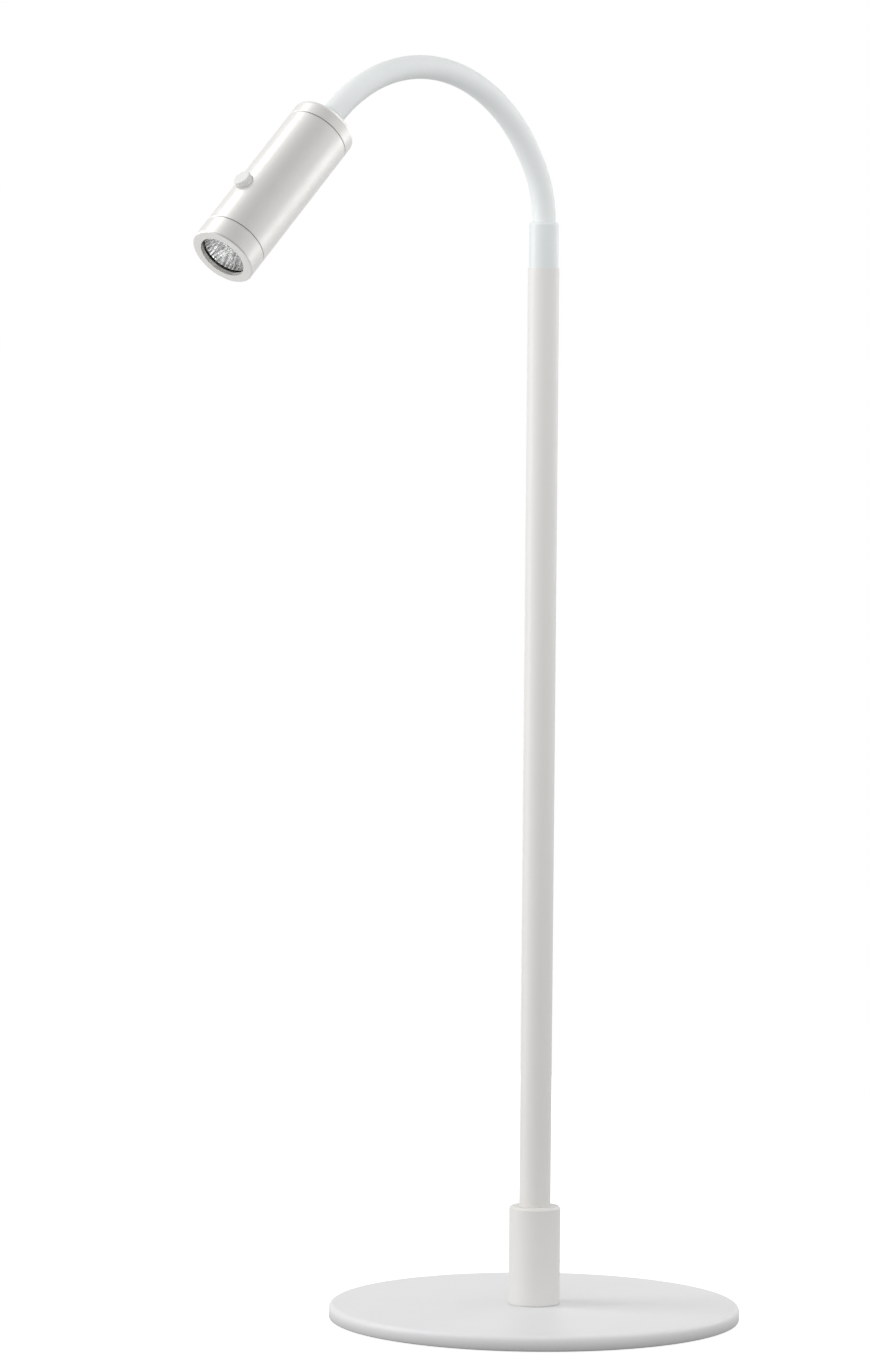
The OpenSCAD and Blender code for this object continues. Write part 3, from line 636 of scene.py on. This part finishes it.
class Shape:
    """Points and faces of one piece while it is made."""

    def __init__(self):
        self.points = []
        self.faces = []

    def skin(self, rings, loop=False):
        """Joins rings of as many points each. Its ends are closed, or the last joins the first."""
        base, m = len(self.points), len(rings[0])
        for ring in rings:
            self.points.extend(ring)
        count = len(rings)
        for j in range(count if loop else count - 1):
            a, b = base + j * m, base + (j + 1) % count * m
            for i in range(m):
                k = (i + 1) % m
                self.faces.append((a + i, a + k, b + k, b + i))
        if not loop:
            self.faces.append(tuple(base + i for i in reversed(range(m))))
            self.faces.append(tuple(base + (count - 1) * m + i for i in range(m)))

    def sweep(self, route, radius, sides):
        """A round wire along a route of points that nowhere runs along Y."""
        rings = []
        for i, point in enumerate(route):
            way = (route[min(i + 1, len(route) - 1)] - route[max(i - 1, 0)]).normalized()
            across = ACROSS.cross(way).normalized()
            up = way.cross(across)
            rings.append([
                point + radius * (math.cos(t) * across + math.sin(t) * up)
                for t in (2 * math.pi * k / sides for k in range(sides))
            ])
        self.skin(rings)

    def build(self, name, slot):
        """The finished piece, smooth except along its sharp edges."""
        mesh = bpy.data.meshes.new(name)
        mesh.from_pydata([tuple(p) for p in self.points], [], self.faces)
        mesh.materials.append(MATERIALS[slot])
        rest = mesh.attributes.new("rest_place", "FLOAT_VECTOR", "POINT")
        rest.data.foreach_set("vector", np.array(self.points, np.float32).ravel())
        for polygon in mesh.polygons:
            polygon.use_smooth = True
        mesh.set_sharp_from_angle(angle=SHARP_ANGLE)
        mesh.update()
        piece = bpy.data.objects.new(name, mesh)
        bpy.context.scene.collection.objects.link(piece)
        return piece


def neck_ring(radius, s, sides):
    """Points round the neck's line at the distance s along it."""
    turns = [2 * math.pi * k / sides for k in range(sides)]
    return [on_neck(radius * math.cos(t), radius * math.sin(t), s) for t in turns]


def steps(start, end, step):
    """Even stations from start to end, about step apart."""
    count = max(1, round((end - start) / step))
    return [start + (end - start) * i / count for i in range(count + 1)]


# ---- The neck: sleeve, coil and cable, one piece of each over each hinge ------------------

SLEEVE_RADII = rim("neck_sleeve_0", (0, 0, 0), (0, 0, -1))
LAST = len(HINGES) - 1
CUTS = [None] + [(a + b) / 2 for a, b in zip(HINGE_S, HINGE_S[1:])] + [None]


def zone_span(i, first, last):
    """Where the piece over hinge i starts and ends along the neck."""
    return (first if i == 0 else CUTS[i], last if i == LAST else CUTS[i + 1])


def bend_piece(piece, i, nodes):
    """Works out the ends of the neck piece over hinge i and the bodies at them, hides the CAD
    nodes it stands for, and bakes its place into its mesh.
    """
    start = FERRULE_INSET if i == 0 else CUTS[i]
    end = NECK_LEN - FERRULE_INSET if i == LAST else CUTS[i + 1]
    ends = [
        (HINGES[i]["parent"], on_neck(0, 0, start)),
        (HINGES[i]["child"], on_neck(0, 0, end)),
    ]
    if HINGES[i]["name"] in TURNED_DOWN:
        ends.reverse()
    (first, start), (second, end) = ends
    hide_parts(*nodes)
    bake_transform(piece)


def layer_nodes(layer, i):
    """The CAD nodes of a neck layer that the piece over hinge i stands for."""
    return [f"neck_{layer}_{i}"] + ([f"neck_{layer}_{i + 1}"] if i == LAST else [])


def make_sleeves():
    """The smooth sleeve, from inside the long ferrule to inside the short one."""
    inner, outer = SLEEVE_RADII
    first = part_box("neck_sleeve_0")[0].z - NECK_FOOT.z
    last = NECK_LEN + SLEEVE_GRIP
    for i in range(len(HINGES)):
        start, end = zone_span(i, first, last)
        stations = steps(start, end, SLEEVE_STEP)
        shape = Shape()
        shape.skin(
            [neck_ring(outer, s, SLEEVE_SIDES) for s in stations]
            + [neck_ring(inner, s, SLEEVE_SIDES) for s in reversed(stations)],
            loop=True,
        )
        bend_piece(shape.build(f"sleeve_{i}", "neck_silicone"), i, layer_nodes("sleeve", i))


def coil_ring(s, radius):
    """Points round the coil's wire where its middle lies s along the neck."""
    turn = 2 * math.pi * s / COIL_PITCH
    ring = []
    for k in range(COIL_WIRE_SIDES):
        w = 2 * math.pi * k / COIL_WIRE_SIDES
        r = radius + COIL_WIRE_R * math.cos(w)
        along = s + COIL_WIRE_R * math.sin(w)
        ring.append(on_neck(r * math.cos(turn), r * math.sin(turn), along))
    return ring


def make_coils():
    """The wire coil that holds the neck's bend, inside the sleeve."""
    radius = SLEEVE_RADII[0] - COIL_PLAY - COIL_WIRE_R
    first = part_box("neck_coil_0")[0].z - NECK_FOOT.z + COIL_WIRE_R
    last = NECK_LEN + SLEEVE_GRIP + COIL_TAIL - COIL_WIRE_R
    for i in range(len(HINGES)):
        start, end = zone_span(i, first, last)
        shape = Shape()
        shape.skin([
            coil_ring(s, radius) for s in steps(start, end, COIL_PITCH / COIL_TURN_STEPS)
        ])
        bend_piece(shape.build(f"coil_{i}", "coil_steel"), i, layer_nodes("coil", i))


def pole_leads(shape, start):
    """Two leads from the foot of the pole's cable down to the inlet's solder tags."""
    low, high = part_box("inlet_tags")
    tag_x = (low.x + high.x) / 2
    tag_z = high.z + LEAD_PLAY
    lead_y = CABLE_R - LEAD_R - LEAD_PLAY
    for side in (-1, 1):
        tag_y = side * (high.y - TAG_HALF)
        shape.sweep([
            Vector((tag_x, tag_y, tag_z)),
            Vector((tag_x, tag_y, tag_z + LEAD_D)),
            Vector((0, side * lead_y, start - LEAD_D)),
            Vector((0, side * lead_y, start + LEAD_D)),
        ], LEAD_R, LEAD_SIDES)


def head_leads(shape, end):
    """Two leads from the end of the head's cable up to the driver board."""
    pad_out = extent("driver_board", HEAD_ORIGIN, HEAD_OUT)[0] - LEAD_R - LEAD_PLAY
    lead_y = CABLE_R - LEAD_R - 2 * LEAD_PLAY
    route = ((0, -1), (0, 1), (pad_out, 4), (pad_out, 6))
    for side in (-1, 1):
        shape.sweep([
            on_neck(out, side * lead_y, end + along * LEAD_D) for out, along in route
        ], LEAD_R, LEAD_SIDES)


def make_cables():
    """The cable from the pole's foot through the neck into the head, with its leads."""
    cable_end = HEAD_BACK_S + CABLE_HEAD
    for i in range(len(HINGES)):
        start, end = zone_span(i, CABLE_FOOT - NECK_FOOT.z, cable_end)
        shape = Shape()
        bent = steps(max(start, 0.0), min(end, NECK_LEN), CABLE_STEP)
        stations = ([start] if i == 0 else []) + bent + ([end] if i == LAST else [])
        shape.skin([neck_ring(CABLE_R, s, CABLE_SIDES) for s in stations])
        nodes = [f"neck_cable_{i}"]
        if i == 0:
            pole_leads(shape, CABLE_FOOT)
            nodes = ["pole_cable"]
        if i == LAST:
            head_leads(shape, cable_end)
            nodes.append("head_cable")
        bend_piece(shape.build(f"cable_{i}", "cable_pvc"), i, nodes)


# ---- The reflector: rows of hammered cells, turned by half a cell against each other -------

# How many cells there are round the bowl and up its wall, and points across each. The rows grow
# towards the mouth by this power.
DIMPLE_COLUMNS = 36
DIMPLE_ROWS = 7
DIMPLE_STEPS = 8
DIMPLE_DEPTH = 0.16 * MM
DIMPLE_GROWTH = 1.5
# Seed of the painted highlights and shade on the reflector's cells
PAINTED_SHINE_SEED = 5


def painted_cell_shading(rows, columns):
    """How bright the colour painted on each point of the bowl's rings is: every cell has a painted
    highlight on one side and painted shade on the other, and a random tone of its own.
    """
    moods = np.random.default_rng(PAINTED_SHINE_SEED).random((DIMPLE_ROWS, DIMPLE_COLUMNS))
    tones = np.empty((rows + 1, columns))
    for j in range(rows + 1):
        row = min(j // DIMPLE_STEPS, DIMPLE_ROWS - 1)
        v = j / DIMPLE_STEPS - row - 0.5
        place = np.arange(columns) / DIMPLE_STEPS + row * 0.5
        mood = moods[row, place.astype(int) % DIMPLE_COLUMNS]
        side = np.where(mood > 0.3, 1, -1)
        tones[j] = 0.6 + 1.3 * side * (place % 1.0 - 0.5) + 0.4 * v + 0.9 * (mood - 0.5)
    return np.clip(tones, 0, 1)


def make_reflector():
    """The bowl: its hammered face from root to mouth, its flange, and its plain back."""
    low, high = head_extent("reflector")
    depth = high - low
    root_r = rim("reflector", HEAD_ORIGIN, -HEAD_AXIS)[0]
    mouth_r, flange_r = rim("reflector", HEAD_ORIGIN, HEAD_AXIS)
    columns = DIMPLE_COLUMNS * DIMPLE_STEPS

    def bowl_r(t):
        return math.sqrt(root_r ** 2 + (mouth_r ** 2 - root_r ** 2) * t)

    def ring(radii, along):
        turns = [2 * math.pi * i / columns for i in range(columns)]
        return [in_head(r * math.cos(a), r * math.sin(a), along) for r, a in zip(radii, turns)]

    def dimpled(x, t):
        """Radii round the ring at the share x of the rows and the share t of the depth."""
        row = min(int(x * DIMPLE_ROWS), DIMPLE_ROWS - 1)
        v = x * DIMPLE_ROWS - row - 0.5
        radii = []
        for i in range(columns):
            u = (i / DIMPLE_STEPS + row * 0.5) % 1.0 - 0.5
            hollow = max(0.0, 1 - 4 * u * u) * max(0.0, 1 - 4 * v * v)
            radii.append(bowl_r(t) + DIMPLE_DEPTH * (hollow - 0.5))
        return radii

    rows = DIMPLE_ROWS * DIMPLE_STEPS
    rings = []
    for j in range(rows + 1):
        t = (j / rows) ** DIMPLE_GROWTH
        rings.append(ring(dimpled(j / rows, t), low + depth * t))
    rings.append(ring([flange_r] * columns, high))
    rings.append(ring([flange_r] * columns, high - FLANGE_T))
    for j in range(BACK_ROWS, -1, -1):
        t = j / BACK_ROWS * (1 - FLANGE_T / depth)
        rings.append(ring([bowl_r(t) + SKIN_T * (1 - t / 2)] * columns, low + depth * t))
    shape = Shape()
    shape.skin(rings, loop=True)
    # Painted highlights and shade on the cells of the bowl's face; its back has one even colour
    tones = np.full(len(shape.points), BACK_TONE, np.float32)
    tones[:(rows + 1) * columns] = painted_cell_shading(rows, columns).ravel()
    piece = shape.build("reflector_bowl", "reflector_chrome")
    piece.data.attributes.new("painted_cell_shine", "FLOAT", "POINT").data.foreach_set("value", tones)
    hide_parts("reflector")
    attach(piece, "head")


# ---- The button's spring ---------------------------------------------------------------------

def make_spring():
    """The button's return spring, made at the length it has at rest."""
    foot, top = extent("switch_spring", HEAD_ORIGIN, HEAD_OUT)
    middle = sum(head_extent("switch_spring")) / 2
    radius = extent("switch_spring", (0, 0, 0), (0, 1, 0))[1] - SPRING_WIRE_R
    low, rise = foot + SPRING_WIRE_R, top - foot - 2 * SPRING_WIRE_R
    stations = SPRING_TURNS * SPRING_TURN_STEPS
    rings = []
    for j in range(stations + 1):
        turn = 2 * math.pi * j / SPRING_TURN_STEPS
        out = low + rise * j / stations
        ring = []
        for k in range(SPRING_WIRE_SIDES):
            w = 2 * math.pi * k / SPRING_WIRE_SIDES
            r = radius + SPRING_WIRE_R * math.cos(w)
            ring.append(in_head(
                out + SPRING_WIRE_R * math.sin(w), r * math.cos(turn), middle + r * math.sin(turn)
            ))
        rings.append(ring)
    shape = Shape()
    shape.skin(rings)
    piece = shape.build("button_spring", "coil_steel")
    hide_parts("switch_spring")
    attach(piece, "head")
    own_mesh(piece)


# ---- Floor, light and camera -----------------------------------------------------------------

def camera_axes():
    """Right, up and forward of the camera, as unit vectors."""
    azimuth = CAMERA_AZIMUTH + CAMERA_YAW
    level = Vector((-math.sin(azimuth), math.cos(azimuth), 0))
    right = level.cross(UP)
    forward = level * math.cos(CAMERA_PITCH) - UP * math.sin(CAMERA_PITCH)
    up = right.cross(forward)
    turned_right = right * math.cos(CAMERA_ROLL) + up * math.sin(CAMERA_ROLL)
    turned_up = up * math.cos(CAMERA_ROLL) - right * math.sin(CAMERA_ROLL)
    return turned_right, turned_up, forward


def make_camera():
    """The camera, with a long lens."""
    right, up, forward = camera_axes()
    data = bpy.data.cameras.new("camera")
    data.sensor_width = SENSOR_MM
    data.lens = FOCAL_PIXELS * SENSOR_MM / PICTURE_H
    data.clip_start = CLIP_START
    data.clip_end = CLIP_END
    camera = bpy.data.objects.new("camera", data)
    place = Vector((
        CAMERA_DISTANCE * math.sin(CAMERA_AZIMUTH),
        -CAMERA_DISTANCE * math.cos(CAMERA_AZIMUTH),
        CAMERA_HEIGHT,
    ))
    axes = Matrix((right, up, -forward)).transposed().to_4x4()
    camera.matrix_world = Matrix.Translation(place) @ axes
    bpy.context.scene.collection.objects.link(camera)
    bpy.context.scene.camera = camera


def make_lights():
    """The soft boxes, each turned to the lamp."""
    side = Vector((math.cos(CAMERA_AZIMUTH), math.sin(CAMERA_AZIMUTH), 0))
    near = Vector((math.sin(CAMERA_AZIMUTH), -math.cos(CAMERA_AZIMUTH), 0))
    aim = Vector((0, 0, LIGHT_AIM_HEIGHT))
    for name, light in LIGHTS.items():
        data = bpy.data.lights.new(name, "AREA")
        data.shape = "RECTANGLE"
        data.size, data.size_y = light["size"]
        data.energy = light["watts"]
        lamp = bpy.data.objects.new(name, data)
        across, up, towards = light["place"]
        lamp.location = aim + side * across + UP * up + near * towards
        lamp.rotation_mode = "QUATERNION"
        lamp.rotation_quaternion = (aim - lamp.location).to_track_quat("-Z", "Y")
        bpy.context.scene.collection.objects.link(lamp)


def ray_share(nodes, links, names):
    """1 for rays of the named kinds, else 0."""
    path = nodes.new("ShaderNodeLightPath")
    total = path.outputs[names[0]]
    for name in names[1:]:
        node = nodes.new("ShaderNodeMath")
        node.operation = "MAXIMUM"
        links.new(total, node.inputs[0])
        links.new(path.outputs[name], node.inputs[1])
        total = node.outputs[0]
    return total


def blend_values(nodes, links, share, low, high):
    """low where share is 0 and high where it is 1. Each is a number or a socket."""
    node = nodes.new("ShaderNodeMapRange")
    links.new(share, node.inputs["Value"])
    for name, value in (("To Min", low), ("To Max", high)):
        if isinstance(value, (int, float)):
            node.inputs[name].default_value = value
        else:
            links.new(value, node.inputs[name])
    return node.outputs["Result"]


def make_world():
    """A white studio that is dimmer on the camera's side, and plain white behind the lamp."""
    world = bpy.data.worlds.new("studio")
    bpy.context.scene.world = world
    world.use_nodes = True
    nodes, links = world.node_tree.nodes, world.node_tree.links
    towards = nodes.new("ShaderNodeVectorMath")
    towards.operation = "DOT_PRODUCT"
    links.new(nodes.new("ShaderNodeTexCoord").outputs["Generated"], towards.inputs[0])
    towards.inputs[1].default_value = (math.sin(CAMERA_AZIMUTH), -math.cos(CAMERA_AZIMUTH), 0)
    front = nodes.new("ShaderNodeMapRange")
    front.interpolation_type = "SMOOTHSTEP"
    front.inputs["From Min"].default_value = FRONT_START
    front.inputs["From Max"].default_value = FRONT_FULL
    links.new(towards.outputs["Value"], front.inputs["Value"])
    side = front.outputs["Result"]
    soft = blend_values(nodes, links, side, AMBIENT_BACK, AMBIENT_FRONT)
    gloss = blend_values(nodes, links, side, BACKDROP, GLOSS_FRONT)
    lit = blend_values(nodes, links, ray_share(nodes, links, MIRRORED_RAYS), soft, gloss)
    strength = blend_values(nodes, links, ray_share(nodes, links, SEEING_RAYS), lit, BACKDROP)
    nodes["Background"].inputs["Color"].default_value = (1, 1, 1, 1)
    links.new(strength, nodes["Background"].inputs["Strength"])


def make_floor():
    """A plain pale floor that keeps the lamp's soft shadow."""
    half = FLOOR_SIZE / 2
    mesh = bpy.data.meshes.new("floor")
    corners = [(-half, -half, 0), (half, -half, 0), (half, half, 0), (-half, half, 0)]
    mesh.from_pydata(corners, [], [(0, 1, 2, 3)])
    look = Look("floor_paper", (FLOOR_SHADE,) * 3, FLOOR_ROUGHNESS)
    look.set(Specular_IOR_Level=0.0)
    look.vary_color(look.noise(0.5), 0.004)
    seen = ray_share(look.nodes, look.links, SEEING_RAYS)
    mirrored = ray_share(look.nodes, look.links, MIRRORED_RAYS)
    lift = blend_values(look.nodes, look.links, mirrored, 0.0, FLOOR_GLOSS)
    lift = blend_values(look.nodes, look.links, seen, lift, FLOOR_LIFT)
    look.shader.inputs["Emission Color"].default_value = (1, 1, 1, 1)
    look.link(lift, look.shader.inputs["Emission Strength"])
    mesh.materials.append(look.material)
    floor = bpy.data.objects.new("floor", mesh)
    bpy.context.scene.collection.objects.link(floor)


dress_nodes()
make_sleeves()
make_coils()
make_cables()
make_reflector()
make_spring()
make_floor()
make_world()
make_lights()
make_camera()
bpy.context.scene.view_settings.view_transform = "Standard"
